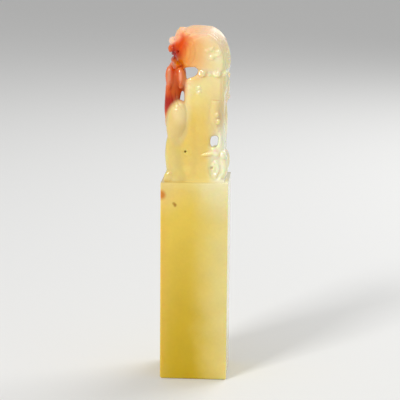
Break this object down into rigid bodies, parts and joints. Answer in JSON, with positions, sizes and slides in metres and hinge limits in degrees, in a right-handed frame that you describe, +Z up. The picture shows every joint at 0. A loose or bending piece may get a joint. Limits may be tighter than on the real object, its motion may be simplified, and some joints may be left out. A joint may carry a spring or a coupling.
{
  "type": "seal stamp",
  "caption": "Tall square soapstone seal with a seated guardian lion carved as its knob; stands on its flat, uncut printing face and is held by the shaft.",
  "frame": {"origin": "centre of the printing face, on which the seal stands", "axes": "+Z up along the shaft to the lion's crown; the lion looks along -X and its left side faces -Y"},
  "size_m": [0.02, 0.02, 0.1061],
  "materials": {
    "honey_stone": "translucent, waxed and polished; honey yellow deepening towards the face, pale along one side",
    "cream_stone": "translucent, waxed and polished cream",
    "pale_stone": "translucent, waxed and polished, near white",
    "orange_stone": "translucent, waxed and polished, warm orange fading to cream",
    "red_stone": "translucent, waxed and polished, the red skin of the pebble"
  },
  "bodies": {
    "root": {"printing_face": "honey_stone", "shaft": "honey_stone", "trunk": "cream_stone", "belly": "cream_stone", "thigh_left": "cream_stone", "thigh_right": "cream_stone", "shin_left": "cream_stone", "shin_right": "cream_stone", "mane": "pale_stone", "hind_paw_left": "pale_stone", "hind_paw_right": "pale_stone", "ear_left": "pale_stone", "ear_right": "pale_stone", "mane_lock_1_left": "pale_stone", "mane_lock_1_right": "pale_stone", "mane_lock_2_left": "pale_stone", "mane_lock_2_right": "pale_stone", "mane_lock_3_left": "pale_stone", "mane_lock_3_right": "pale_stone", "mane_lock_4_left": "pale_stone", "mane_lock_4_right": "pale_stone", "tail_band": "pale_stone", "tail_root": "pale_stone", "tail_tip": "pale_stone", "tail_scroll_left": "pale_stone", "tail_scroll_right": "pale_stone", "tail_leaf_left": "pale_stone", "tail_leaf_right": "pale_stone", "tail_tuft_left": "pale_stone", "tail_tuft_right": "pale_stone", "head": "orange_stone", "nose": "orange_stone", "brow_left": "orange_stone", "brow_right": "orange_stone", "eye_left": "orange_stone", "eye_right": "orange_stone", "fore_paw_left": "orange_stone", "fore_paw_right": "orange_stone", "muzzle": "red_stone", "lower_jaw": "red_stone", "beard": "red_stone", "foreleg_left": "red_stone", "foreleg_right": "red_stone"}
  },
  "joints": []
}
